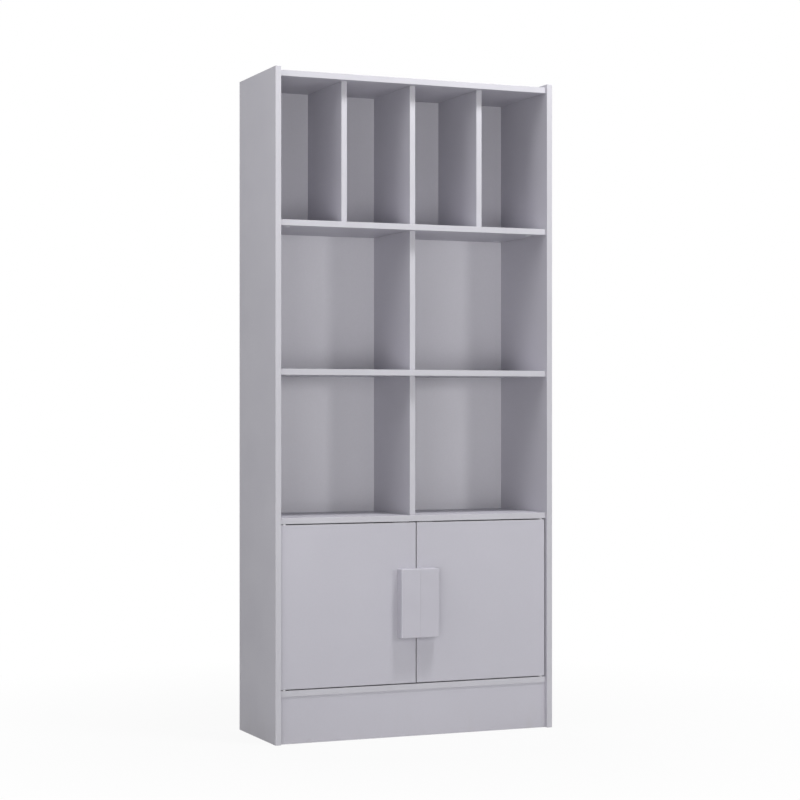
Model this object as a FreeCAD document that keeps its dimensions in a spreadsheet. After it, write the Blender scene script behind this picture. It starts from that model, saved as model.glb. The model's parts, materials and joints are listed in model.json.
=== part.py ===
import FreeCAD, Part
import os
import re

import Sketcher
from FreeCAD import Rotation, Vector

# A tall bookcase of faced chipboard: two full-height side panels, a top row of four bays, two rows of two
# bays, and a cabinet with two inset doors that turn on pivot pins.
# Millimetres. +X is to the right, +Y to the back, +Z up. The origin is on the floor, in the middle of the
# footprint with the pulls included. Every left piece is drawn, and its right twin is its mirror image.

SIZES = {
    # the whole piece
    "overall_width": 820,        # outer faces of the side panels
    "overall_height": 1800,      # floor to the top edges of the side panels
    "overall_depth": 300,        # front edges to rear edges of the side panels
    "board": 16,                 # thickness of every panel but the doors and the back
    "side_proud": 10,            # side panels in front of the shelves, doors and plinth
    "top_drop": 8,               # top panel below the side panels' top edges
    "plinth_height": 126,
    "plinth_setback": 2,         # plinth behind the front edge of the bottom panel
    "cabinet_opening": 443,      # bottom panel to cabinet top
    "divider_setback": 26,       # dividers behind the front edges of the shelves
    # back sheets, let into rebates along the side panels' rear edges
    "back_thickness": 3,
    "back_recess": 1,            # back sheets ahead of the side panels' rear edges
    "rebate_width": 8,
    "back_clearance": 1,         # back sheets short of the rebates' side walls
    "back_margin": 3,            # back sheets short of the case's upper and lower faces
    "back_joint": 1,             # gap between the two sheets
    # doors
    "door_thickness": 16,
    "door_gap": 3,               # round each door, and between the two
    # block pull: one half on each door
    "handle_width": 112,         # both halves
    "handle_height": 188,
    "handle_projection": 30,
    "handle_split": 0.3,         # gap between the halves
    "handle_edge": 3,            # radius of the halves' outer edges
    "handle_screw_pitch": 96,
    "handle_screw_grip": 18,     # length of each screw inside the pull
    # pivot pins and bushes
    "pivot_inset": 10,           # axis from the door's hinge edge
    "pivot_depth": 7,            # axis behind the door's front face
    "pin_diameter": 5,
    "pin_shank": 10,             # length let into the panel
    "pin_journal": 10,           # length beyond the collar
    "collar_diameter": 12,       # pin collar and bush flange
    "collar_height": 1.5,
    "bush_diameter": 8,
    "bush_length": 12,
    "pivot_clearance": 0.05,     # radial, pin in bush
    # magnetic catches
    "catch_length": 44,
    "catch_depth": 14,
    "catch_height": 13,
    "catch_offset": 6,           # catch from the cabinet partition
    "catch_screw_spacing": 32,
    "strike_length": 40,
    "strike_height": 26,
    "strike_thickness": 1.5,
    "strike_drop": 1,            # strike plate below the door's top edge
    "strike_screw_rise": 6.5,    # screw above the strike plate's lower edge
    # anti-tip wall bracket
    "bracket_width": 40,
    "bracket_leg": 24,
    "bracket_height": 25,
    "bracket_thickness": 2,
    "bracket_screw_spacing": 22,
    "bracket_screw_inset": 14,   # screws from the bracket's rear face
    "wall_hole_diameter": 6,
    "wall_hole_rise": 15,
    # dowels, cam locks and cam bolts
    "fixing_inset": 40,          # cam locks from the front and rear edges
    "dowel_pitch": 32,           # dowel from its cam lock, and between the dowels above and below a shelf
    "dowel_diameter": 8,
    "dowel_length": 30,
    "dowel_in_face": 8,          # part of a dowel that is let into a panel's face
    "divider_dowel_inset": 50,   # lower dowels from a divider's front and rear edges
    "plinth_bolt_rise": 44,      # cam locks of the plinth and rear rail above the floor
    "cam_distance": 34,          # cam lock's axis from the panel's end
    "cam_diameter": 15,
    "cam_floor": 3.5,            # thickness left beyond a cam lock
    "cam_slot": 8,
    "cam_driver_length": 10,
    "cam_driver_width": 2,
    "cam_driver_depth": 1.5,
    "cover_diameter": 17,
    "cover_thickness": 1.2,
    "bolt_thread_diameter": 5,
    "bolt_thread_length": 11,
    "bolt_shank_diameter": 6,
    "bolt_neck_diameter": 4,
    "bolt_neck_length": 4,
    "bolt_head_diameter": 7,
    "bolt_head_length": 3,
    "bolt_reach": 2,             # bolt's end beyond the cam lock's axis
    "bolt_bore": 8,
    # screws and nails
    "machine_screw_diameter": 4,
    "machine_head_diameter": 8,
    "wood_screw_diameter": 3,
    "wood_head_diameter": 6,
    "screw_head_height": 2,
    "screw_head_crown": 0.5,     # rim of a screw's head, smaller on top
    "wood_screw_grip": 11,       # length of each wood screw inside a panel
    "nail_diameter": 1.6,
    "nail_length": 20,
    "nail_head_diameter": 4,
    "nail_head_height": 0.6,
    "nail_end_distance": 30,     # first and last nail of a row
    "joint_nail_offset": 4,      # nails above and below the joint of the back sheets
    # fits
    "fit": 0.2,                  # bores larger than the dowels, cam locks, screws, pins and nails in them
    "hole_spare": 1,             # blind bores deeper than what they hold
}
NAILS_ACROSS = 7                 # nails in each shelf's rear edge
NAILS_UP = 8                     # nails in each side panel, for each back sheet

# What follows from the sizes. A name that stands in another formula stands for its own formula.
PLACES = {
    "left_x": "board - overall_width / 2",
    "right_x": "overall_width / 2 - board",
    "clear_width": "right_x - left_x",
    "side_front": "(handle_projection - side_proud - overall_depth) / 2",
    "side_rear": "side_front + overall_depth",
    "rebate_depth": "back_thickness + back_recess",
    "shelf_front": "side_front + side_proud",
    "shelf_rear": "side_rear - rebate_depth",
    "shelf_depth": "shelf_rear - shelf_front",
    "divider_front": "shelf_front + divider_setback",
    "row_height": "(overall_height - top_drop - plinth_height - cabinet_opening - 5 * board) / 3",
    "bottom_z": "plinth_height",
    "cabinet_floor_z": "bottom_z + board",
    "cabinet_top_z": "cabinet_floor_z + cabinet_opening",
    "middle_z": "cabinet_top_z + board + row_height",
    "upper_z": "middle_z + board + row_height",
    "top_z": "upper_z + board + row_height",
    "top_face_z": "top_z + board",
    "bay_pitch": "(clear_width + board) / 4",
    "back_low_z": "bottom_z + back_margin",
    "back_joint_z": "middle_z + board / 2",
    "back_high_z": "top_face_z - back_margin",
    "door_low_z": "cabinet_floor_z + door_gap",
    "door_high_z": "cabinet_top_z - door_gap",
    "door_width": "(clear_width - 3 * door_gap) / 2",
    "door_rear": "shelf_front + door_thickness",
    "pivot_x": "left_x + door_gap + pivot_inset",
    "pivot_y": "shelf_front + pivot_depth",
    "handle_half": "(handle_width - handle_split) / 2",
    "handle_screw_x": "(handle_half + handle_split) / -2",
    "handle_mid_z": "(door_low_z + door_high_z) / 2",
    "catch_x": "board / -2 - catch_offset - catch_length",
    "catch_mid_x": "catch_x + catch_length / 2",
    "catch_front": "door_rear + strike_thickness",
    "strike_z": "door_high_z - strike_drop - strike_height",
    "strike_screw_z": "strike_z + strike_screw_rise",
    "bracket_screw_y": "side_rear - bracket_screw_inset",
    "cam_height": "board - cam_floor",
    "cam_x": "left_x + cam_distance",
    # bores
    "bolt_hole": "bolt_thread_diameter + fit",
    "bolt_hole_depth": "bolt_thread_length + hole_spare",
    "bolt_bore_depth": "cam_distance + bolt_reach + hole_spare",
    "cam_hole": "cam_diameter + fit",
    "cam_hole_depth": "cam_height + fit",
    "dowel_hole": "dowel_diameter + fit",
    "face_hole_depth": "dowel_in_face + hole_spare",
    "end_hole_depth": "dowel_length - dowel_in_face + hole_spare",
    "machine_hole": "machine_screw_diameter + fit",
    "wood_hole": "wood_screw_diameter + fit",
    "wood_hole_depth": "wood_screw_grip + hole_spare",
    "nail_hole": "nail_diameter + fit",
}

# panel: its underside
LEVELS = {
    "bottom_panel": "bottom_z",
    "cabinet_top": "cabinet_top_z",
    "shelf_middle": "middle_z",
    "shelf_upper": "upper_z",
    "top_panel": "top_z",
}

# divider: its centre line, the panel it stands on and the panel above it
DIVIDERS = {
    "divider_top_left": ("-1 * bay_pitch", "shelf_upper", "top_panel"),
    "divider_top_centre": ("0", "shelf_upper", "top_panel"),
    "divider_top_right": ("bay_pitch", "shelf_upper", "top_panel"),
    "divider_middle": ("0", "shelf_middle", "shelf_upper"),
    "divider_lower": ("0", "cabinet_top", "shelf_middle"),
    "cabinet_partition": ("0", "bottom_panel", "cabinet_top"),
}

# the two axes of a sketch on each plane, then the axis it faces along
PLANE_AXES = {"XY": (0, 1, 2), "XZ": (0, 2, 1), "YZ": (1, 2, 0)}

# turns that lay a piece drawn along +Z along another axis
ALONG_Z = Rotation()
DOWN = Rotation(Vector(1, 0, 0), 180)
ALONG_X = Rotation(Vector(0, 1, 0), 90)
ALONG_Y = Rotation(Vector(1, 0, 0), -90)

NAME = re.compile(r"[a-z][a-z0-9_]*")

# sketch elements start anywhere apart from each other; their constraints move them to their places
START_RADIUS = 50
START_SPACING = 5
LEAST_CUT = 0.01                 # mm3 that a pocket has to remove
NEAR = 0.01                      # mm

doc = FreeCAD.newDocument("bookcase")
pieces = {}                      # node name: document object
origins = {}                     # object name: formulas of its own origin


# ---------------------------------------------------------------- formulas and drawing

def formula(text):
    """Write plain names as a FreeCAD expression: a size is a cell, a place is its own formula."""
    def replace(match):
        name = match.group()
        if name in PLACES:
            return "(" + formula(PLACES[name]) + ")"
        return "Sizes." + name
    return NAME.sub(replace, text)


def make_sheet():
    """Keep every driving size in a spreadsheet, one aliased cell each."""
    sheet = doc.addObject("Spreadsheet::Sheet", "Sizes")
    for row, (name, value) in enumerate(SIZES.items(), start=1):
        sheet.set(f"A{row}", name)
        sheet.set(f"B{row}", str(value))
        sheet.setAlias(f"B{row}", name)
    doc.recompute()


def place(item, spot, turn=ALONG_Z):
    """Put an object at a spot given by three formulas."""
    item.Placement = FreeCAD.Placement(Vector(), turn)
    for axis, text in zip("xyz", spot):
        item.setExpression(f"Placement.Base.{axis}", formula(text))


def new_body(name, origin=("0", "0", "0")):
    """Start a body whose own origin is at the given place."""
    body = doc.addObject("PartDesign::Body", name)
    body.Label = name
    place(body, origin)
    origins[name] = origin
    return body


def new_sketch(body, plane, level="0"):
    """Start a sketch parallel to one of the body's own planes, at a level along that plane's axis."""
    sketch = body.newObject("Sketcher::SketchObject", body.Name + "_sketch")
    planes = {feature.Role: feature for feature in body.Origin.OriginFeatures}
    sketch.AttachmentSupport = (planes[plane + "_Plane"], [""])
    sketch.MapMode = "FlatFace"
    facing = "-1" if plane == "XZ" else "1"          # the XZ plane faces -Y
    sketch.setExpression("AttachmentOffset.Base.z", formula(f"{facing} * ({level})"))
    return sketch


def hold(sketch, geometry, point, start, spot):
    """Hold a sketch point at a spot given by two formulas, from the sketch's origin."""
    for kind, value, text in zip(("DistanceX", "DistanceY"), start, spot):
        index = sketch.addConstraint(Sketcher.Constraint(kind, -1, 1, geometry, point, value))
        sketch.setExpression(f"Constraints[{index}]", formula(text))


def draw_outline(sketch, corners):
    """Draw a closed outline through corners given by formulas."""
    count = len(corners)
    turns = [Rotation(Vector(0, 0, 1), 360 * i / count) for i in range(count)]
    starts = [turn.multVec(Vector(START_RADIUS, 0, 0)) for turn in turns]
    for i in range(count):
        sketch.addGeometry(Part.LineSegment(starts[i], starts[(i + 1) % count]), False)
    for i in range(count):
        sketch.addConstraint(Sketcher.Constraint("Coincident", i, 2, (i + 1) % count, 1))
    for i, corner in enumerate(corners):
        hold(sketch, i, 1, starts[i], corner)


def rectangle(width, height):
    """Corners of a rectangle from the sketch's origin."""
    return [("0", "0"), (width, "0"), (width, height), ("0", height)]


def pad(body, corners, length, plane="XY"):
    """Push an outline out of a plane of the body."""
    sketch = new_sketch(body, plane)
    draw_outline(sketch, corners)
    feature = body.newObject("PartDesign::Pad", body.Name + "_pad")
    feature.Profile = sketch
    feature.setExpression("Length", formula(length))
    return feature


def block(name, origin, size):
    """A plain rectangular piece."""
    body = new_body(name, origin)
    pad(body, rectangle(size[0], size[1]), size[2])
    return body


def turned(name, corners):
    """A round piece about +Z: corners give radius and height."""
    body = new_body(name)
    sketch = new_sketch(body, "XZ")
    draw_outline(sketch, corners)
    feature = body.newObject("PartDesign::Revolution", name + "_turn")
    feature.Profile = sketch
    feature.ReferenceAxis = (sketch, ["V_Axis"])
    feature.Angle = 360
    return body


def pocket(body, sketch, plane, towards, depth):
    """Cut a sketch's outlines away, towards the + or - end of the axis that the plane faces along."""
    feature = body.newObject("PartDesign::Pocket", body.Name + "_pocket")
    feature.Profile = sketch
    feature.Reversed = (towards == "+") != (plane == "XZ")
    feature.setExpression("Length", formula(depth))


def drill(body, plane, level, towards, spots, diameter, depth):
    """Bore equal round holes. The level and the spots are places in the whole piece's frame."""
    first, second, normal = PLANE_AXES[plane]
    origin = origins[body.Name]
    sketch = new_sketch(body, plane, f"({level}) - ({origin[normal]})")
    for i, spot in enumerate(spots):
        start = Vector(START_SPACING * i, 0, 0)
        sketch.addGeometry(Part.Circle(start, Vector(0, 0, 1), 1), False)
        local = (f"({spot[0]}) - ({origin[first]})", f"({spot[1]}) - ({origin[second]})")
        hold(sketch, i, 3, start, local)
        if i:
            sketch.addConstraint(Sketcher.Constraint("Equal", i, 0))
    index = sketch.addConstraint(Sketcher.Constraint("Diameter", 0, 2))
    sketch.setExpression(f"Constraints[{index}]", formula(diameter))
    pocket(body, sketch, plane, towards, depth)


def mirror(item, name):
    """The right twin of a left piece."""
    twin = doc.addObject("Part::Mirroring", name)
    twin.Label = name
    twin.Source = item
    twin.Normal = Vector(1, 0, 0)
    return twin


def keep(item, name=None):
    """Count an object among the pieces of the bookcase."""
    if name:
        item.Label = name
    pieces[item.Label] = item
    return item


def keep_pair(left, name):
    """Keep a left piece and its right twin."""
    keep(left, "left_" + name)
    keep(mirror(left, "right_" + name))


def copies(master, spots, turn, name):
    """Equal pieces at several spots."""
    links = []
    for spot in spots:
        link = doc.addObject("App::Link", name + "_item")
        link.LinkedObject = master
        place(link, spot, turn)
        links.append(link)
    group = doc.addObject("Part::Compound", name)
    group.Links = links
    return group


def group_of(groups, name):
    """Join groups of equal pieces into one node."""
    group = doc.addObject("Part::Compound", name)
    group.Links = groups
    group.Label = name
    return keep(group)


# ---------------------------------------------------------------- where the fixings are

def cam_rows():
    """Depths of the cam locks at a shelf's ends."""
    return ["shelf_front + fixing_inset", "shelf_rear - fixing_inset"]


def dowel_rows():
    """Depths of the dowels at a shelf's ends."""
    return ["shelf_front + fixing_inset + dowel_pitch", "shelf_rear - fixing_inset - dowel_pitch"]


def divider_dowel_rows(end):
    """Depths of the dowels in a divider's lower or upper end, which miss each other in the shelf between."""
    inset = "divider_dowel_inset" if end == "lower" else "divider_dowel_inset + dowel_pitch"
    return [f"divider_front + {inset}", f"shelf_rear - ({inset})"]


def both_sides(x):
    """A place on the left and its mirror image."""
    return [x, f"-1 * ({x})"]


def rail_depths():
    """Front face of the plinth and of the rear rail."""
    return {"plinth_front": "shelf_front + plinth_setback", "plinth_rear": "shelf_rear - board"}


def spread(low, high, count):
    """Evenly spaced places from low to high."""
    return [f"{low} + (({high}) - ({low})) * {i} / {count - 1}" for i in range(count)]


def nails_across(panel):
    """Nails through the back into a panel's rear edge: x, z."""
    middle = LEVELS[panel] + " + board / 2"
    heights = [middle]
    if panel == "shelf_middle":
        heights = [f"{middle} - joint_nail_offset", f"{middle} + joint_nail_offset"]
    row = spread("left_x + nail_end_distance", "right_x - nail_end_distance", NAILS_ACROSS)
    return [(x, z) for z in heights for x in row]


def nails_up():
    """Nails through the back into the left side panel: x, z for the lower and for the upper sheet."""
    x = "left_x - rebate_width / 2"
    spans = (("lower", "back_low_z", "back_joint_z"), ("upper", "back_joint_z", "back_high_z"))
    rows = {}
    for sheet, low, high in spans:
        heights = spread(f"{low} + nail_end_distance", f"{high} - nail_end_distance", NAILS_UP)
        rows[sheet] = [(x, z) for z in heights]
    return rows


# ---------------------------------------------------------------- carcass

def side_panels():
    body = new_body("left_side_panel", ("overall_width / -2", "side_front", "0"))
    corners = [
        ("0", "0"),
        ("board", "0"),
        ("board", "overall_depth - rebate_depth"),
        ("board - rebate_width", "overall_depth - rebate_depth"),
        ("board - rebate_width", "overall_depth"),
        ("0", "overall_depth"),
    ]
    pad(body, corners, "overall_height")
    bolts = [(y, level + " + board / 2") for level in LEVELS.values() for y in cam_rows()]
    dowels = [(y, level + " + board / 2") for level in LEVELS.values() for y in dowel_rows()]
    for y in rail_depths().values():
        bolts.append((f"{y} + board / 2", "plinth_bolt_rise"))
        dowels.append((f"{y} + board / 2", "plinth_bolt_rise + dowel_pitch"))
    drill(body, "YZ", "left_x", "-", bolts, "bolt_hole", "bolt_hole_depth")
    drill(body, "YZ", "left_x", "-", dowels, "dowel_hole", "face_hole_depth")
    nails = nails_up()
    drill(body, "XZ", "shelf_rear", "-", nails["lower"] + nails["upper"], "nail_hole", "nail_length")
    keep_pair(body, "side_panel")


def bore_ends(body, bolt_spots, dowel_spots):
    """Bore both ends of a panel for cam bolts and dowels."""
    for x, towards in (("left_x", "+"), ("right_x", "-")):
        drill(body, "YZ", x, towards, bolt_spots, "bolt_bore", "bolt_bore_depth")
        drill(body, "YZ", x, towards, dowel_spots, "dowel_hole", "end_hole_depth")


def horizontal_panels():
    """Top panel, shelves, cabinet top and bottom panel."""
    for name, underside in LEVELS.items():
        size = ("clear_width", "shelf_depth", "board")
        body = block(name, ("left_x", "shelf_front", underside), size)
        middle, upper_face = f"{underside} + board / 2", f"{underside} + board"
        bore_ends(body, [(y, middle) for y in cam_rows()], [(y, middle) for y in dowel_rows()])

        cams = [(x, y) for x in both_sides("cam_x") for y in cam_rows()]
        if name == "top_panel":
            face, towards = upper_face, "-"
        else:
            face, towards = underside, "+"
        drill(body, "XY", face, towards, cams, "cam_hole", "cam_hole_depth")

        above = [x for x, panel_below, _ in DIVIDERS.values() if panel_below == name]
        below = [x for x, _, panel_above in DIVIDERS.values() if panel_above == name]
        if above:
            spots = [(x, y) for x in above for y in divider_dowel_rows("lower")]
            drill(body, "XY", upper_face, "-", spots, "dowel_hole", "face_hole_depth")
        if below:
            spots = [(x, y) for x in below for y in divider_dowel_rows("upper")]
            drill(body, "XY", underside, "+", spots, "dowel_hole", "face_hole_depth")
        drill(body, "XZ", "shelf_rear", "-", nails_across(name), "nail_hole", "nail_length")
        keep(body)


def dividers():
    for name, (x, panel_below, panel_above) in DIVIDERS.items():
        low, high = LEVELS[panel_below] + " + board", LEVELS[panel_above]
        size = ("board", "shelf_rear - divider_front", f"({high}) - ({low})")
        body = block(name, (f"{x} - board / 2", "divider_front", low), size)
        for end, level, towards in (("lower", low, "+"), ("upper", high, "-")):
            spots = [(x, y) for y in divider_dowel_rows(end)]
            drill(body, "XY", level, towards, spots, "dowel_hole", "end_hole_depth")
        keep(body)


def plinth_rails():
    """Plinth at the front and rail at the rear, both under the bottom panel."""
    for name, y in rail_depths().items():
        body = block(name, ("left_x", y, "0"), ("clear_width", "board", "plinth_height"))
        middle = f"{y} + board / 2"
        bore_ends(body, [(middle, "plinth_bolt_rise")], [(middle, "plinth_bolt_rise + dowel_pitch")])
        # the cam locks go in from inside the base
        face, towards = (f"{y} + board", "-") if name == "plinth_front" else (y, "+")
        cams = [(x, "plinth_bolt_rise") for x in both_sides("cam_x")]
        drill(body, "XZ", face, towards, cams, "cam_hole", "cam_hole_depth")
        keep(body)


def back_sheets():
    half = "right_x + rebate_width - back_clearance"
    spans = {
        "lower": ("back_low_z", "back_joint_z - back_joint / 2", ("bottom_panel", "cabinet_top")),
        "upper": ("back_joint_z + back_joint / 2", "back_high_z", ("shelf_upper", "top_panel")),
    }
    joint = nails_across("shelf_middle")
    joint_nails = {"lower": joint[:NAILS_ACROSS], "upper": joint[NAILS_ACROSS:]}
    for sheet, (low, high, panels) in spans.items():
        body = new_body("back_panel_" + sheet, (f"-1 * ({half})", "shelf_rear", low))
        pad(body, rectangle(f"2 * ({half})", "back_thickness"), f"({high}) - ({low})")
        spots = joint_nails[sheet] + [spot for panel in panels for spot in nails_across(panel)]
        spots += [(x, z) for left_x, z in nails_up()[sheet] for x in both_sides(left_x)]
        drill(body, "XZ", "shelf_rear", "+", spots, "nail_hole", "back_thickness")
        keep(body)


# ---------------------------------------------------------------- doors

def handle_screw_heights():
    return ["handle_mid_z - handle_screw_pitch / 2", "handle_mid_z + handle_screw_pitch / 2"]


def doors():
    origin = ("left_x + door_gap", "shelf_front", "door_low_z")
    body = block("left_door", origin, ("door_width", "door_thickness", "door_high_z - door_low_z"))
    pivot = [("pivot_x", "pivot_y")]
    for level, towards in (("door_low_z", "+"), ("door_high_z", "-")):
        drill(body, "XY", level, towards, pivot, "bush_diameter + fit", "bush_length + hole_spare")
    screws = [("handle_screw_x", z) for z in handle_screw_heights()]
    drill(body, "XZ", "door_rear", "-", screws, "machine_hole", "door_thickness")
    strike = [("catch_mid_x", "strike_screw_z")]
    drill(body, "XZ", "door_rear", "-", strike, "wood_hole", "wood_hole_depth")
    keep_pair(body, "door")


def pulls():
    """One half of the block pull, with its outer edges rounded."""
    low = "handle_mid_z - handle_height / 2"
    body = new_body("left_handle", ("handle_width / -2", "shelf_front - handle_projection", low))
    solid = pad(body, rectangle("handle_half", "handle_projection"), "handle_height")
    doc.recompute()
    box = solid.Shape.BoundBox
    rounded = []
    for number, edge in enumerate(solid.Shape.Edges, start=1):
        at_split = all(abs(vertex.X - box.XMax) < NEAR for vertex in edge.Vertexes)
        at_door = all(abs(vertex.Y - box.YMax) < NEAR for vertex in edge.Vertexes)
        if not at_split and not at_door:
            rounded.append(f"Edge{number}")
    fillet = body.newObject("PartDesign::Fillet", "handle_rounding")
    fillet.Base = (solid, rounded)
    fillet.setExpression("Radius", formula("handle_edge"))
    body.Tip = fillet
    doc.recompute()
    screws = [("handle_screw_x", z) for z in handle_screw_heights()]
    depth = "handle_screw_grip + hole_spare"
    drill(body, "XZ", "shelf_front", "-", screws, "machine_hole", depth)
    keep_pair(body, "handle")


def pivots():
    """Pins let into the cabinet top and bottom panel, and the bushes in the door's ends that turn on them."""
    pin_radius = "pin_diameter / 2"
    pin = turned("pivot_pin", [
        ("0", "-1 * pin_shank"),
        (pin_radius, "-1 * pin_shank"),
        (pin_radius, "0"),
        ("collar_diameter / 2", "0"),
        ("collar_diameter / 2", "collar_height"),
        (pin_radius, "collar_height"),
        (pin_radius, "collar_height + pin_journal"),
        ("0", "collar_height + pin_journal"),
    ])
    bore_radius, flange = "pin_diameter / 2 + pivot_clearance", "door_gap - collar_height"
    bush = turned("pivot_bush", [
        (bore_radius, "collar_height - door_gap"),
        ("collar_diameter / 2", f"-1 * ({flange})"),
        ("collar_diameter / 2", "0"),
        ("bush_diameter / 2", "0"),
        ("bush_diameter / 2", "bush_length"),
        (bore_radius, "bush_length"),
    ])
    for end, panel_face, door_end, turn in (
        ("lower", "cabinet_floor_z", "door_low_z", ALONG_Z),
        ("upper", "cabinet_top_z", "door_high_z", DOWN),
    ):
        pins = copies(pin, [("pivot_x", "pivot_y", panel_face)], turn, f"{end}_pin")
        keep_pair(pins, f"{end}_pivot_pin")
        bushes = copies(bush, [("pivot_x", "pivot_y", door_end)], turn, f"{end}_bush")
        keep_pair(bushes, f"{end}_pivot_bush")


def bore_pivot_seats():
    """Seats of the pins' shanks, in the panels above and below the doors."""
    spots = [(x, "pivot_y") for x in both_sides("pivot_x")]
    faces = (("bottom_panel", "cabinet_floor_z", "-"), ("cabinet_top", "cabinet_top_z", "+"))
    for name, face, towards in faces:
        drill(pieces[name], "XY", face, towards, spots, "pin_diameter + fit", "pin_shank + hole_spare")


def catches():
    """Magnetic catches under the cabinet top and their strike plates on the doors."""
    catch = block("left_magnetic_catch", ("catch_x", "catch_front", "cabinet_top_z - catch_height"),
                  ("catch_length", "catch_depth", "catch_height"))
    half = "catch_screw_spacing / 2"
    spots = [(f"catch_mid_x {sign} {half}", "catch_front + catch_depth / 2") for sign in "-+"]
    drill(catch, "XY", "cabinet_top_z", "-", spots, "wood_hole", "catch_height")
    keep_pair(catch, "magnetic_catch")

    all_spots = [(x, y) for left_x, y in spots for x in both_sides(left_x)]
    drill(pieces["cabinet_top"], "XY", "cabinet_top_z", "+", all_spots, "wood_hole", "wood_hole_depth")
    screw = round_head_screw("catch_screw", "wood", "catch_height + wood_screw_grip")
    low = "cabinet_top_z - catch_height"
    left = copies(screw, [(x, y, low) for x, y in spots], DOWN, "left_catch_screws")
    group_of([left, mirror(left, "right_catch_screws")], "catch_screws")

    strike = block("left_strike_plate", ("catch_mid_x - strike_length / 2", "door_rear", "strike_z"),
                   ("strike_length", "strike_thickness", "strike_height"))
    spot = [("catch_mid_x", "strike_screw_z")]
    drill(strike, "XZ", "door_rear", "+", spot, "wood_hole", "strike_thickness")
    keep_pair(strike, "strike_plate")
    screw = round_head_screw("strike_screw", "wood", "strike_thickness + wood_screw_grip")
    spot = [("catch_mid_x", "door_rear + strike_thickness", "strike_screw_z")]
    keep_pair(copies(screw, spot, ALONG_Y, "strike_screws"), "strike_screw")


# ---------------------------------------------------------------- fixings

def round_head_screw(name, kind, length):
    """A screw along +Z with the underside of its head at 0."""
    return turned(name, [
        ("0", f"-1 * ({length})"),
        (f"{kind}_screw_diameter / 2", f"-1 * ({length})"),
        (f"{kind}_screw_diameter / 2", "0"),
        (f"{kind}_head_diameter / 2", "0"),
        (f"{kind}_head_diameter / 2 - screw_head_crown", "screw_head_height"),
        ("0", "screw_head_height"),
    ])


def handle_screws():
    screw = round_head_screw("handle_screw", "machine", "door_thickness + handle_screw_grip")
    spots = [("handle_screw_x", "door_rear", z) for z in handle_screw_heights()]
    keep_pair(copies(screw, spots, ALONG_Y, "handle_screw_set"), "handle_screws")


def dowels():
    dowel = doc.addObject("Part::Cylinder", "dowel")
    dowel.setExpression("Radius", formula("dowel_diameter / 2"))
    dowel.setExpression("Height", formula("dowel_length"))
    x = "left_x - dowel_in_face"
    spots = [(x, y, f"{z} + board / 2") for z in LEVELS.values() for y in dowel_rows()]
    for y in rail_depths().values():
        spots.append((x, f"{y} + board / 2", "plinth_bolt_rise + dowel_pitch"))
    left = copies(dowel, spots, ALONG_X, "left_dowels")
    upright = []
    for x, panel_below, panel_above in DIVIDERS.values():
        low = LEVELS[panel_below] + " + board - dowel_in_face"
        high = LEVELS[panel_above] + " + dowel_in_face - dowel_length"
        upright += [(x, y, low) for y in divider_dowel_rows("lower")]
        upright += [(x, y, high) for y in divider_dowel_rows("upper")]
    standing = copies(dowel, upright, ALONG_Z, "divider_dowels")
    group_of([left, mirror(left, "right_dowels"), standing], "dowels")


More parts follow.
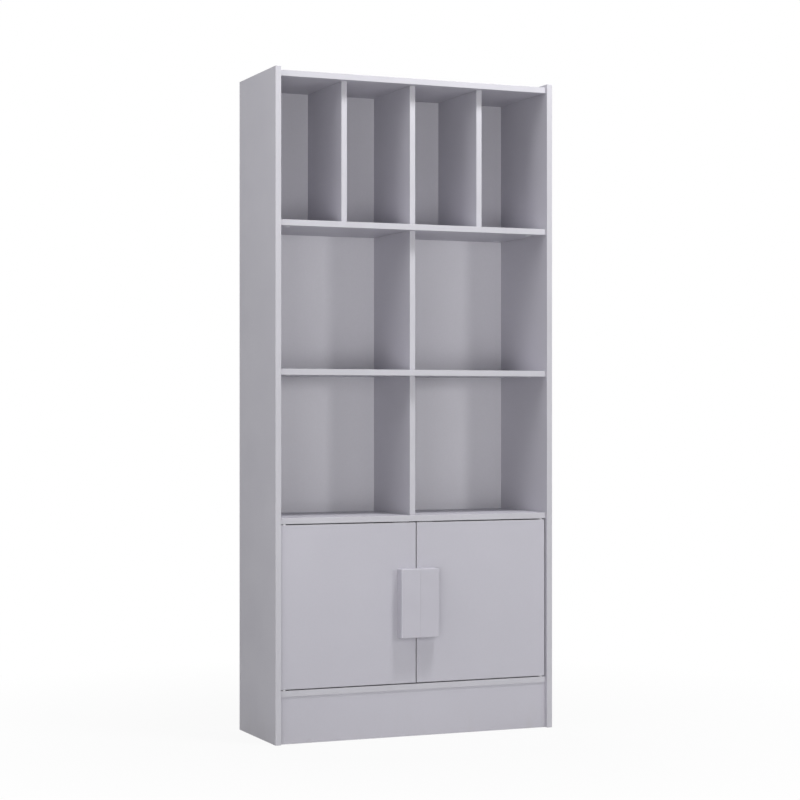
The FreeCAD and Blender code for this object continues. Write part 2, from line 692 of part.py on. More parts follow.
def cam_fixings():
    """Cam locks, the bolts that they pull on, and covers over the locks in the shelves."""
    # a lock drawn with its driver slot at z = 0, its body going up and the bolt coming in from -X
    lock = doc.addObject("Part::Cut", "cam_lock")
    drum = doc.addObject("Part::Cylinder", "cam_drum")
    drum.setExpression("Radius", formula("cam_diameter / 2"))
    drum.setExpression("Height", formula("cam_height"))
    hollow = doc.addObject("Part::Box", "cam_hollow")
    hollow.setExpression("Length", formula("cam_diameter / 2 + bolt_reach + hole_spare"))
    hollow.setExpression("Width", formula("cam_slot"))
    hollow.setExpression("Height", formula("cam_height"))
    place(hollow, ("cam_diameter / -2", "cam_slot / -2", "board / 2 - cam_slot / 2"))
    driver = doc.addObject("Part::Box", "cam_driver")
    driver.setExpression("Length", formula("cam_driver_length"))
    driver.setExpression("Width", formula("cam_driver_width"))
    driver.setExpression("Height", formula("cam_driver_depth"))
    place(driver, ("cam_driver_length / -2", "cam_driver_width / -2", "0"))
    cuts = doc.addObject("Part::MultiFuse", "cam_cuts")
    cuts.Shapes = [hollow, driver]
    lock.Base = drum
    lock.Tool = cuts

    head_end = "cam_distance + bolt_reach"
    neck_end = f"{head_end} - bolt_head_length"
    shank_end = f"{neck_end} - bolt_neck_length"
    bolt = turned("cam_bolt", [
        ("0", "-1 * bolt_thread_length"),
        ("bolt_thread_diameter / 2", "-1 * bolt_thread_length"),
        ("bolt_thread_diameter / 2", "0"),
        ("bolt_shank_diameter / 2", "0"),
        ("bolt_shank_diameter / 2", shank_end),
        ("bolt_neck_diameter / 2", shank_end),
        ("bolt_neck_diameter / 2", neck_end),
        ("bolt_head_diameter / 2", neck_end),
        ("bolt_head_diameter / 2", head_end),
        ("0", head_end),
    ])
    cover = doc.addObject("Part::Cylinder", "cam_cover")
    cover.setExpression("Radius", formula("cover_diameter / 2"))
    cover.setExpression("Height", formula("cover_thickness"))

    bolts, locks_up, locks_down, covers_up, covers_down = [], [], [], [], []
    for panel, underside in LEVELS.items():
        for y in cam_rows():
            bolts.append(("left_x", y, f"{underside} + board / 2"))
            if panel == "top_panel":
                locks_down.append(("cam_x", y, f"{underside} + board"))
                covers_up.append(("cam_x", y, f"{underside} + board"))
            else:
                locks_up.append(("cam_x", y, underside))
                covers_down.append(("cam_x", y, f"{underside} - cover_thickness"))
    depths = rail_depths()
    for y in depths.values():
        bolts.append(("left_x", f"{y} + board / 2", "plinth_bolt_rise"))
    front = [("cam_x", depths["plinth_front"] + " + board", "plinth_bolt_rise")]
    rear = [("cam_x", depths["plinth_rear"], "plinth_bolt_rise")]

    left_bolts = copies(bolt, bolts, ALONG_X, "left_cam_bolts")
    group_of([left_bolts, mirror(left_bolts, "right_cam_bolts")], "cam_bolts")
    left_locks = doc.addObject("Part::Compound", "left_cam_locks")
    left_locks.Links = [
        copies(lock, locks_up, ALONG_Z, "cam_locks_up"),
        copies(lock, locks_down, DOWN, "cam_locks_down"),
        copies(lock, front, Rotation(Vector(1, 0, 0), 90), "cam_locks_plinth"),
        copies(lock, rear, ALONG_Y, "cam_locks_rail"),
    ]
    group_of([left_locks, mirror(left_locks, "right_cam_locks")], "cam_locks")
    left_covers = copies(cover, covers_up + covers_down, ALONG_Z, "left_cam_covers")
    group_of([left_covers, mirror(left_covers, "right_cam_covers")], "cam_covers")


def nails():
    """Nails of the back, drawn along +Z with the underside of the head at 0."""
    nail = turned("nail", [
        ("0", "-1 * nail_length"),
        ("nail_diameter / 2", "nail_diameter - nail_length"),
        ("nail_diameter / 2", "0"),
        ("nail_head_diameter / 2", "0"),
        ("nail_head_diameter / 2", "nail_head_height"),
        ("0", "nail_head_height"),
    ])
    y = "shelf_rear + back_thickness"
    across = [(x, y, z) for panel in LEVELS for x, z in nails_across(panel)]
    up = [(x, y, z) for row in nails_up().values() for x, z in row]
    left = copies(nail, up, ALONG_Y, "left_back_nails")
    shelf_nails = copies(nail, across, ALONG_Y, "shelf_nails")
    group_of([left, mirror(left, "right_back_nails"), shelf_nails], "back_nails")


def wall_bracket():
    """Steel angle on the rear of the top panel, for a screw into the wall."""
    body = new_body("wall_bracket", ("bracket_width / -2", "side_rear", "top_face_z"))
    corners = [
        ("-1 * bracket_leg", "0"),
        ("0", "0"),
        ("0", "bracket_height"),
        ("-1 * bracket_thickness", "bracket_height"),
        ("-1 * bracket_thickness", "bracket_thickness"),
        ("-1 * bracket_leg", "bracket_thickness"),
    ]
    pad(body, corners, "bracket_width", plane="YZ")
    spots = [(x, "bracket_screw_y") for x in both_sides("bracket_screw_spacing / 2")]
    drill(body, "XY", "top_face_z", "+", spots, "wood_hole", "bracket_thickness")
    wall_hole = [("0", "top_face_z + wall_hole_rise")]
    drill(body, "XZ", "side_rear", "-", wall_hole, "wall_hole_diameter", "bracket_thickness")
    keep(body)
    drill(pieces["top_panel"], "XY", "top_face_z", "-", spots, "wood_hole", "wood_hole_depth")
    screw = round_head_screw("bracket_screw", "wood", "bracket_thickness + wood_screw_grip")
    heads = [(x, y, "top_face_z + bracket_thickness") for x, y in spots]
    group_of([copies(screw, heads, ALONG_Z, "bracket_screws")], "wall_bracket_screws")


# ---------------------------------------------------------------- check and write

def check():
    """Stop if anything failed to build or a cut removed nothing."""
    doc.recompute()
    for item in doc.Objects:
        failed = {"Invalid", "Error"} & set(item.State)
        if failed:
            raise RuntimeError(f"{item.Name}: {sorted(failed)}")
        if item.isDerivedFrom("PartDesign::Pocket"):
            removed = item.BaseFeature.Shape.Volume - item.Shape.Volume
            if removed < LEAST_CUT:
                raise RuntimeError(f"{item.Name} cuts nothing")
    for name, item in pieces.items():
        if item.Shape.isNull() or not item.Shape.isValid() or not item.Shape.Solids:
            raise RuntimeError(f"{name} has no valid solid")


def write():
    os.makedirs("parts", exist_ok=True)
    for name, item in pieces.items():
        item.Shape.exportStep(f"parts/{name}.step")
        print(name, len(item.Shape.Solids), "solids")


make_sheet()
side_panels()
horizontal_panels()
dividers()
plinth_rails()
back_sheets()
doors()
pulls()
pivots()
bore_pivot_seats()
catches()
handle_screws()
dowels()
cam_fixings()
nails()
wall_bracket()
check()
write()
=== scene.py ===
import json
from math import pi, radians

import bmesh
import bpy
from bpy.props import FloatProperty, FloatVectorProperty, IntProperty, PointerProperty
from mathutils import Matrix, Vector


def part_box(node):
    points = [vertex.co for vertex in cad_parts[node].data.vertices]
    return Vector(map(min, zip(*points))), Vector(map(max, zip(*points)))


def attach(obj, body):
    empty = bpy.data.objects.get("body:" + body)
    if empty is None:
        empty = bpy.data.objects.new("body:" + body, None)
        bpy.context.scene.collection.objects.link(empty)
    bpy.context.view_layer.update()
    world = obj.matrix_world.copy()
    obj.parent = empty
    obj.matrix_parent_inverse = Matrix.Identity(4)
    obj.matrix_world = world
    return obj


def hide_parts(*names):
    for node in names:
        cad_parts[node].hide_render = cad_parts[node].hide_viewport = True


# The finish of a tall bookcase with a two-door cabinet: faced boards with edge bands, a hardboard back,
# block pulls, and the fixings that hold it together. Metres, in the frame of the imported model.

bl_info = {
    "name": "Bookcase with Cabinet Doors",
    "version": (1, 0, 0),
    "blender": (4, 5, 0),
    "location": "3D View > Sidebar > Bookcase",
    "description": "Finishes the boards, doors, pulls and fixings of a packed bookcase, and sets its stage",
    "category": "Object",
}

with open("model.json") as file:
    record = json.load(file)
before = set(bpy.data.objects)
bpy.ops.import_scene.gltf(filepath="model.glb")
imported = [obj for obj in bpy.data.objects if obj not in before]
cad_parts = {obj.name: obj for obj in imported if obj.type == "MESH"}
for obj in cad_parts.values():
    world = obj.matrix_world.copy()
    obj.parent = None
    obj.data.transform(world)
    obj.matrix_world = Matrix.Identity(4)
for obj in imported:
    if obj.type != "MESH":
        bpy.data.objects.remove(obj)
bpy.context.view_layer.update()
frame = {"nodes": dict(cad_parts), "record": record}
nodes = frame["nodes"]
BODY_OF = {
    node: body for body, members in frame["record"]["behaviour"]["bodies"].items() for node in members
}

HANDS = ("left", "right")
SHELVES = ("bottom_panel", "cabinet_top", "shelf_middle", "shelf_upper", "top_panel")
DIVIDERS = ("divider_top_left", "divider_top_centre", "divider_top_right",
            "divider_middle", "divider_lower", "cabinet_partition")
RAILS = ("plinth_front", "plinth_rear")
BACK_SHEETS = ("back_panel_lower", "back_panel_upper")

# side of a piece: its axis, and which end of it
SIDES = {"left": (0, -1), "right": (0, 1), "front": (1, -1), "rear": (1, 1), "bottom": (2, -1), "top": (2, 1)}
# turn that points a piece drawn along +Z out of a side
TURNS = {"top": (0, 0, 0), "bottom": (pi, 0, 0), "rear": (-pi / 2, 0, 0)}

MERGE = 1e-6             # corners nearer than this are one
NEAR = 1e-5              # a face this near to a side of its board lies on it
FLAT = radians(1)        # faces that meet at less are one face
CREASE = radians(38)     # faces that meet at more keep a hard edge between them

# the order of a board's materials
FACING, BAND, GLUE, CORE = range(4)


# ---------------------------------------------------------------- what a user can change

def measure(name, description, default, least, most):
    """A size that a user can change."""
    return FloatProperty(name=name, description=description, default=default, min=least, max=most,
                         precision=5, unit="LENGTH")


class BookcaseSizes(bpy.types.PropertyGroup):
    edge_radius: measure("Edge radius", "Rounding of the boards' edges", 0.0006, 0.0001, 0.003)
    band_thickness: measure(
        "Edge band", "Thickness of the band glued to a board's edge", 0.001, 0.0003, 0.003)
    glue_line: measure(
        "Glue line", "Width of the line between an edge band and the facing", 0.00015, 0.00005, 0.0005)
    plate_radius: measure("Plate corners", "Rounding of the strike plates' corners", 0.003, 0.0005, 0.006)
    screw_recess: measure("Screw recess", "Depth of the cross in a screw's head", 0.0012, 0.0003, 0.0018)
    thread_pitch: measure(
        "Thread pitch", "Distance between the turns of a screw's thread", 0.0012, 0.0005, 0.003)
    dowel_flute: measure("Dowel flutes", "Depth of the grooves along a dowel", 0.0003, 0.0, 0.001)
    seed: IntProperty(
        name="Seed", description="Picks how far each screw, nail, cover and dowel is turned about its axis",
        default=7, min=0)


def paint(name, description, default):
    """A colour that a user can change."""
    return FloatVectorProperty(
        name=name, description=description, default=default, min=0, max=1, subtype="COLOR")


class BookcaseColours(bpy.types.PropertyGroup):
    facing: paint("Facing", "Melamine facing of the boards and doors", (0.487, 0.477, 0.526))
    band: paint("Edge band", "Band on the boards' edges", (0.505, 0.498, 0.536))
    pull: paint("Pulls", "Lacquer of the block pulls", (0.475, 0.464, 0.515))
    back: paint("Back", "Painted front face of the back sheets", (0.65, 0.64, 0.68))
    hardboard: paint("Hardboard", "Bare rear face of the back sheets", (0.27, 0.155, 0.075))
    chipboard: paint("Chipboard", "Bare core of the boards", (0.50, 0.36, 0.21))
    beech: paint("Beech", "Dowels", (0.56, 0.36, 0.18))
    steel: paint("Plated steel", "Screws, nails, pins, strike plates and bracket", (0.60, 0.60, 0.61))
    zinc: paint("Die-cast zinc", "Cam locks and their bolts", (0.46, 0.47, 0.49))
    plastic: paint("Plastic", "Covers, bushes and catches", (0.66, 0.66, 0.69))
    magnet: paint("Magnet", "Ferrite in the catches", (0.035, 0.035, 0.038))


class BookcaseStage(bpy.types.PropertyGroup):
    lens: FloatProperty(
        name="Lens", description="Focal length on a 36 mm sensor",
        default=92.5, min=20, max=300, unit="CAMERA")
    camera_place: FloatVectorProperty(
        name="Camera", description="Where the camera stands",
        default=(-2.2242, -5.2761, 0.8849), subtype="TRANSLATION", unit="LENGTH")
    camera_turn: FloatProperty(
        name="Camera turn", description="How far the camera looks to the right of straight on",
        default=radians(22.92), subtype="ANGLE", unit="ROTATION")
    camera_rise: FloatProperty(
        name="Camera rise", description="Vertical shift of the level camera's picture",
        default=0.0141, min=-0.5, max=0.5)
    lamp_strength: FloatProperty(
        name="Lamps", description="Strength of all the lamps together", default=1, min=0, max=10)
    room_light: FloatProperty(
        name="Room light", description="Even light from the pale room", default=0.13, min=0, max=2)


def sizes():
    return bpy.context.scene.bookcase_sizes


def colours():
    return bpy.context.scene.bookcase_colours


def stage():
    return bpy.context.scene.bookcase_stage


# ---------------------------------------------------------------- node trees

class Nodes:
    """Adds nodes to a tree. An input given as a socket is linked; any other value is set on the input."""

    def __init__(self, tree):
        self.tree = tree

    def __call__(self, kind, inputs=None, **settings):
        node = self.tree.nodes.new(kind)
        for name, value in settings.items():
            setattr(node, name, value)
        for key, value in (inputs or {}).items():
            for one in value if isinstance(value, list) else [value]:
                if isinstance(one, bpy.types.NodeSocket):
                    self.tree.links.new(one, node.inputs[key])
                else:
                    node.inputs[key].default_value = one
        return node

    def math(self, operation, first, second=0.0):
        return self("ShaderNodeMath", {0: first, 1: second}, operation=operation).outputs[0]

    def vector(self, x, y, z):
        return self("ShaderNodeCombineXYZ", {0: x, 1: y, 2: z}).outputs[0]


# ---------------------------------------------------------------- materials
#
# A noise's or a cell pattern's scale is about how many of its features there are to the metre, a depth of
# relief is in metres, and a share runs from 0 to 1.

DUST_HEIGHT = 0.09                    # how far up from the floor dust and scuffs reach
DUST_GREY = (0.40, 0.38, 0.37)
HANDS_NEAR, HANDS_FAR = 0.06, 0.24    # from a pull: where the hands' polish is whole, and where it ends
WHITE_NEAR, WHITE_FAR = 0.5, 1.7      # from the floor's middle: where it starts and ends turning white
FLOOR_GREYS = (0.46, 0.46, 0.46, 1), (0.50, 0.50, 0.50, 1)
WHITE = (1, 1, 1, 1)


def tone(colour, share):
    """A colour made lighter or darker, as four numbers."""
    return (*(min(1.0, part * share) for part in colour), 1.0)


class Finish(Nodes):
    """A material under way: its shader, and the textures that the finishes share."""

    def __init__(self, name, roughness, metallic=0.0, gloss=0.5):
        self.material = bpy.data.materials.new(name)
        self.material.use_nodes = True
        super().__init__(self.material.node_tree)
        self.tree.nodes.clear()
        self.shader = self("ShaderNodeBsdfPrincipled", {
            "Roughness": roughness, "Metallic": metallic, "Specular IOR Level": gloss})
        self("ShaderNodeOutputMaterial", {"Surface": self.shader.outputs[0]})
        self.place = self("ShaderNodeTexCoord").outputs["Object"]

    def stretched(self, x, y, z):
        """Object coordinates scaled by axis, so that a pattern runs along one of them."""
        return self("ShaderNodeMapping", {"Vector": self.place, "Scale": (x, y, z)}).outputs[0]

    def noise(self, scale, detail=2.0, place=None, distortion=0.0):
        return self("ShaderNodeTexNoise", {
            "Vector": place or self.place, "Scale": scale, "Detail": detail,
            "Distortion": distortion}).outputs["Fac"]

    def cells(self, scale):
        """Cells that fill the space: each one's own tone, and the distance from its middle."""
        cells = self("ShaderNodeTexVoronoi", {"Vector": self.place, "Scale": scale}).outputs
        return self("ShaderNodeSeparateColor", {0: cells["Color"]}).outputs[0], cells["Distance"]

    def remap(self, value, low, high, to_low=0.0, to_high=1.0):
        """Stretch a pattern so that low and high become two other values."""
        return self("ShaderNodeMapRange", {
            "Value": value, "From Min": low, "From Max": high, "To Min": to_low, "To Max": to_high},
        ).outputs[0]

    def mottle(self, first, second, share, swing=0.15):
        """Two patterns weighed together, and stretched so that a swing either way from 0.5 is the whole."""
        first_part = self.math("MULTIPLY", first, share)
        both = self.math("ADD", first_part, self.math("MULTIPLY", second, 1.0 - share))
        return self.remap(both, 0.5 - swing, 0.5 + swing)

    def between(self, share, first, second):
        """The mix of two colours."""
        return self("ShaderNodeMix", {0: share, 6: first, 7: second}, data_type="RGBA").outputs[2]

    def tones(self, share, colour, darkest, lightest):
        """A colour that wanders between a darker and a lighter tone of itself."""
        return self.between(share, tone(colour, darkest), tone(colour, lightest))

    def apart_from(self, point):
        """The distance from a point."""
        return self("ShaderNodeVectorMath", {0: self.place, 1: point}, operation="DISTANCE").outputs["Value"]

    def near_floor(self, reach):
        """1 on the floor, falling to 0 at a height."""
        height = self("ShaderNodeSeparateXYZ", {0: self.place}).outputs["Z"]
        return self.remap(height, 0.0, reach, 1.0, 0.0)

    def colour(self, socket):
        self.tree.links.new(socket, self.shader.inputs["Base Color"])

    def roughness(self, socket):
        self.tree.links.new(socket, self.shader.inputs["Roughness"])

    def relief(self, height, depth, strength=1.0):
        """Raise or sink the surface by a pattern."""
        bump = self("ShaderNodeBump", {"Height": height, "Distance": depth, "Strength": strength})
        self.tree.links.new(bump.outputs["Normal"], self.shader.inputs["Normal"])


def melamine(name, colour, handled=False):
    """Satin facing: a fine pearl grain, a faint cloudiness, scuffs near the floor, and on the doors the
    polish that hands leave round the pulls."""
    finish = Finish(name, 0.46, gloss=0.35)
    cloud, fleck = finish.noise(2.2, 3.0), finish.noise(310.0, 3.0)
    clean = finish.tones(finish.mottle(cloud, fleck, 0.7), colour, 0.965, 1.03)
    scuffs = finish.remap(finish.noise(34.0, 5.0, finish.stretched(1.0, 1.0, 0.35)), 0.52, 0.72, 0.0, 0.16)
    dust = finish.math("MULTIPLY", finish.near_floor(DUST_HEIGHT), finish.math("ADD", scuffs, 0.06))
    finish.colour(finish.between(dust, clean, tone(DUST_GREY, 1.0)))
    rough = finish.remap(finish.noise(9.0, 4.0), 0.3, 0.7, 0.41, 0.51)
    if handled:
        low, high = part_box("left_handle")
        pull = (0.0, low.y, (low.z + high.z) / 2)
        touched = finish.remap(finish.apart_from(pull), HANDS_NEAR, HANDS_FAR, 1.0, 0.0)
        prints = finish.remap(finish.noise(55.0, 4.0, distortion=1.5), 0.42, 0.62, 0.0, 0.12)
        rough = finish.math("SUBTRACT", rough, finish.math("MULTIPLY", touched, prints))
    finish.roughness(rough)
    finish.relief(finish.noise(1500.0, 2.0), 0.00004, 0.5)
    return finish.material


def edge_band(name, colour):
    """Plastic band, lighter and smoother than the facing, with fine lines along it and a few nicks."""
    finish = Finish(name, 0.34)
    lines = finish.noise(260.0, 2.0, finish.stretched(0.06, 1.0, 0.06))
    wide = finish.noise(5.0, 2.0)
    clean = finish.tones(finish.mottle(lines, wide, 0.4), colour, 0.97, 1.025)
    nicks = finish.remap(finish.noise(85.0, 4.0), 0.70, 0.76, 0.0, 0.35)
    finish.colour(finish.between(nicks, clean, tone(colour, 0.72)))
    finish.roughness(finish.remap(finish.noise(18.0, 3.0), 0.3, 0.7, 0.30, 0.40))
    finish.relief(lines, 0.00003, 0.5)
    return finish.material


def glue_line(name, colour):
    """The thin dark line where a band meets the facing."""
    finish = Finish(name, 0.6)
    finish.colour(finish.tones(finish.noise(140.0, 2.0), colour, 0.42, 0.62))
    return finish.material


def chipboard(name, colour):
    """Bare core: pressed chips of several woods, with pores between them."""
    finish = Finish(name, 0.88, gloss=0.25)
    woods, from_middle = finish.cells(520.0)
    chips = finish.tones(woods, colour, 0.62, 1.35)
    pores = finish.remap(finish.noise(900.0, 3.0), 0.55, 0.68, 0.0, 0.7)
    finish.colour(finish.between(pores, chips, tone(colour, 0.35)))
    finish.relief(from_middle, 0.0003, 0.7)
    return finish.material


def painted_board(name, colour):
    """Painted front of the back sheets: a roller's fine stipple and slow changes of tone."""
    finish = Finish(name, 0.5)
    slow, stipple = finish.noise(1.7, 2.0), finish.noise(240.0, 3.0)
    finish.colour(finish.tones(finish.mottle(slow, stipple, 0.75), colour, 0.96, 1.035))
    finish.roughness(finish.remap(finish.noise(12.0, 3.0), 0.3, 0.7, 0.45, 0.56))
    finish.relief(finish.noise(700.0, 2.0), 0.00006, 0.5)
    return finish.material


def bare_hardboard(name, colour):
    """Bare rear of the back sheets: matted fibres under the print of the wire screen they were pressed on."""
    finish = Finish(name, 0.82, gloss=0.3)
    fibres = finish.noise(330.0, 6.0, finish.stretched(1.0, 1.0, 0.55), distortion=0.5)
    blotches = finish.noise(5.5, 4.0)
    finish.colour(finish.tones(finish.mottle(fibres, blotches, 0.75, swing=0.14), colour, 0.80, 1.18))
    waves = [finish("ShaderNodeTexWave", {"Vector": finish.place, "Scale": 95.0, "Distortion": 0.4},
                    bands_direction=axis).outputs["Fac"] for axis in "XZ"]
    screen = finish.math("MULTIPLY", *waves)
    finish.relief(finish.math("ADD", screen, fibres), 0.0002, 0.6)
    return finish.material


def lacquer(name, colour):
    """Sprayed lacquer of the pulls, with a soft sheen and the faintest orange peel."""
    finish = Finish(name, 0.33)
    finish.colour(finish.tones(finish.remap(finish.noise(14.0, 3.0), 0.3, 0.7), colour, 0.975, 1.02))
    finish.roughness(finish.remap(finish.noise(60.0, 4.0, distortion=1.0), 0.4, 0.65, 0.28, 0.38))
    finish.relief(finish.noise(420.0, 1.0), 0.00006, 0.4)
    return finish.material


def plated_steel(name, colour):
    """Bright zinc plating with fine scratches, and a dull spangle in it."""
    finish = Finish(name, 0.3, metallic=1.0)
    spangle, _ = finish.cells(900.0)
    scratches = finish.noise(700.0, 4.0, finish.stretched(0.12, 1.0, 1.0), distortion=0.6)
    finish.colour(finish.tones(spangle, colour, 0.88, 1.1))
    finish.roughness(finish.remap(scratches, 0.3, 0.7, 0.22, 0.42))
    finish.relief(scratches, 0.00003, 0.5)
    return finish.material


def cast_zinc(name, colour):
    """Grey die casting with a grainy skin."""
    finish = Finish(name, 0.5, metallic=1.0)
    skin = finish.noise(1100.0, 4.0)
    finish.colour(finish.tones(skin, colour, 0.8, 1.15))
    finish.roughness(finish.remap(skin, 0.3, 0.7, 0.42, 0.6))
    finish.relief(skin, 0.00008, 0.6)
    return finish.material


def moulded_plastic(name, colour):
    """Moulded plastic with the fine spark texture of its mould."""
    finish = Finish(name, 0.45)
    finish.colour(finish.tones(finish.noise(40.0, 2.0), colour, 0.97, 1.03))
    finish.roughness(finish.remap(finish.noise(300.0, 2.0), 0.3, 0.7, 0.40, 0.52))
    finish.relief(finish.noise(2200.0, 2.0), 0.00004, 0.5)
    return finish.material


def sintered_magnet(name, colour):
    """Dull black ferrite."""
    finish = Finish(name, 0.7, gloss=0.3)
    grains = finish.noise(1600.0, 4.0)
    finish.colour(finish.tones(grains, colour, 0.7, 1.5))
    finish.relief(grains, 0.00006, 0.6)
    return finish.material


def turned_beech(name, colour):
    """Beech with its growth rings and short dark rays."""
    finish = Finish(name, 0.6, gloss=0.35)
    rings = finish("ShaderNodeTexWave", {
        "Vector": finish.place, "Scale": 110.0, "Distortion": 3.0, "Detail": 3.0}).outputs["Fac"]
    rays = finish.remap(finish.noise(1300.0, 3.0, finish.stretched(0.3, 1.0, 1.0)), 0.58, 0.7, 0.0, 0.5)
    wood = finish.tones(rings, colour, 0.85, 1.1)
    finish.colour(finish.between(rays, wood, tone(colour, 0.55)))
    finish.relief(rings, 0.00006, 0.4)
    return finish.material


def studio_floor(name):
    """Pale floor that keeps a faint shadow near the bookcase and runs out into the white of the room."""
    finish = Finish(name, 0.85, gloss=0.1)
    finish.colour(finish.between(finish.noise(0.8, 2.0), *FLOOR_GREYS))
    whiter = finish.remap(finish.apart_from((0.0, 0.0, 0.0)), WHITE_NEAR, WHITE_FAR, 0.93, 1.0)
    share = finish.math("MULTIPLY", seen_directly(finish), whiter)
    white = finish("ShaderNodeEmission", {"Color": WHITE, "Strength": 1.0}).outputs[0]
    mixed = finish("ShaderNodeMixShader", {0: share, 1: finish.shader.outputs[0], 2: white})
    output = next(node for node in finish.tree.nodes if node.type == "OUTPUT_MATERIAL")
    finish.tree.links.new(mixed.outputs[0], output.inputs["Surface"])
    return finish.material


def seen_directly(add):
    """1 for a ray from the camera, or by way of a mirror or glass; 0 for one that carries light."""
    rays = add("ShaderNodeLightPath").outputs
    some = add.math("MAXIMUM", rays["Is Camera Ray"], rays["Is Glossy Ray"])
    return add.math("MAXIMUM", some, rays["Is Transmission Ray"])


RECIPES = {
    "facing": lambda: melamine("melamine_facing", colours().facing),
    "door_facing": lambda: melamine("door_facing", colours().facing, handled=True),
    "band": lambda: edge_band("edge_band", colours().band),
    "glue": lambda: glue_line("glue_line", colours().facing),
    "core": lambda: chipboard("chipboard_core", colours().chipboard),
    "painted": lambda: painted_board("painted_hardboard", colours().back),
    "hardboard": lambda: bare_hardboard("bare_hardboard", colours().hardboard),
    "lacquer": lambda: lacquer("pull_lacquer", colours().pull),
    "steel": lambda: plated_steel("plated_steel", colours().steel),
    "zinc": lambda: cast_zinc("cast_zinc", colours().zinc),
    "plastic": lambda: moulded_plastic("moulded_plastic", colours().plastic),
    "magnet": lambda: sintered_magnet("ferrite_magnet", colours().magnet),
    "beech": lambda: turned_beech("turned_beech", colours().beech),
}
made = {}


def material(name):
    """A finish by its short name, made the first time it is asked for."""
    if name not in made:
        made[name] = RECIPES[name]()
    return made[name]


# ---------------------------------------------------------------- meshes

def merged(node):
    """A copy of a node's mesh with its corners joined and its flat faces whole."""
    shape = bmesh.new()
    shape.from_mesh(nodes[node].data)
    bmesh.ops.remove_doubles(shape, verts=shape.verts, dist=MERGE)
    bmesh.ops.dissolve_limit(shape, angle_limit=FLAT, verts=shape.verts, edges=shape.edges)
    return shape


def on_sides(point, box):
    """The sides of a box that a point lies on."""
    return {name for name, (axis, sign) in SIDES.items() if abs(point[axis] - box[sign > 0][axis]) < NEAR}


def shared_sides(edge, box):
    """The sides of a box that both ends of an edge lie on."""
    return on_sides(edge.verts[0].co, box) & on_sides(edge.verts[1].co, box)


def outline(shape, box):
    """The edges along which two sides of a box meet."""
    return [edge for edge in shape.edges if len(shared_sides(edge, box)) > 1]


def round_off(shape, edges, radius, segments=3):
    """Replace edges by a rounding of so many flats."""
    bmesh.ops.bevel(shape, geom=edges, offset=radius, offset_type="OFFSET", segments=segments, profile=0.5,
                    affect="EDGES", clamp_overlap=True, material=-1)


def cut_behind(shape, box, side, depth):
    """Cut a shape's faces along a plane at a depth below one side, and keep both halves."""
    axis, sign = SIDES[side]
    normal = Vector((0, 0, 0))
    normal[axis] = sign
    level = Vector(box[sign > 0])
    level[axis] -= sign * depth
    everything = shape.verts[:] + shape.edges[:] + shape.faces[:]
    bmesh.ops.bisect_plane(shape, geom=everything, plane_co=level, plane_no=normal, dist=MERGE)


def depth_below(point, box, side):
    """How far a point lies under one side of a box."""
    axis, sign = SIDES[side]
    return sign * (box[sign > 0][axis] - point[axis])


def finished(shape, name, finishes):
    """Turn a shape into a piece: smooth where it is round, flat where it is flat."""
    mesh = bpy.data.meshes.new(name)
    for finish in finishes:
        mesh.materials.append(material(finish))
    shape.to_mesh(mesh)
    shape.free()
    return smoothed(mesh, name)


def smoothed(mesh, name):
    """Make a mesh an object, shaded smooth between its creases."""
    mesh.shade_smooth()
    mesh.set_sharp_from_angle(angle=CREASE)
    piece = bpy.data.objects.new(name, mesh)
    bpy.context.collection.objects.link(piece)
    level = piece.modifiers.new("even shading", "WEIGHTED_NORMAL")
    level.keep_sharp = True
    return made_plain(piece)


def made_plain(piece):
    """Replace a piece's modifiers by the mesh that they give."""
    graph = bpy.context.evaluated_depsgraph_get()
    plain = bpy.data.meshes.new_from_object(piece.evaluated_get(graph), depsgraph=graph)
    plain.name = piece.name
    piece.modifiers.clear()
    piece.data = plain
    return piece


def fit(piece, node):
    """Hang a finished piece on the body of the node it stands for."""
    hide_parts(node)
    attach(piece, BODY_OF[node])


def faced_board(node, banded=(), facing="facing"):
    """A chipboard panel: facing on its two broad sides, a band on each banded edge, bare core elsewhere."""
    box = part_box(node)
    shape = merged(node)
    extent = box[1] - box[0]
    thin = min(range(3), key=lambda axis: extent[axis])
    broad = [side for side, (axis, _) in SIDES.items() if axis == thin]
    round_off(shape, outline(shape, box), sizes().edge_radius)
    band, seam = sizes().band_thickness, sizes().band_thickness + sizes().glue_line
    for side in banded:
        cut_behind(shape, box, side, band)
        cut_behind(shape, box, side, seam)
    for face in shape.faces:
        middle = face.calc_center_median()
        under = min((depth_below(middle, box, side) for side in banded), default=1.0)
        if under < band:
            face.material_index = BAND
        elif under < seam:
            face.material_index = GLUE
        elif min(depth_below(middle, box, side) for side in broad) < sizes().edge_radius / 2:
            face.material_index = FACING
        else:
            face.material_index = CORE
    fit(finished(shape, node + "_board", [facing, "band", "glue", "core"]), node)


def loose_parts(node):
    """Lowest and highest corner of every separate solid in a node."""
    shape = merged(node)
    waiting = set(shape.verts)
    boxes = []
    while waiting:
        reached = [waiting.pop()]
        for corner in reached:
            for edge in corner.link_edges:
                other = edge.other_vert(corner)
                if other in waiting:
                    waiting.remove(other)
                    reached.append(other)
        places = [corner.co for corner in reached]
        boxes.append((Vector(map(min, zip(*places))), Vector(map(max, zip(*places)))))
    shape.free()
    return sorted(boxes, key=lambda box: tuple(box[0]))


# ---------------------------------------------------------------- what repeats

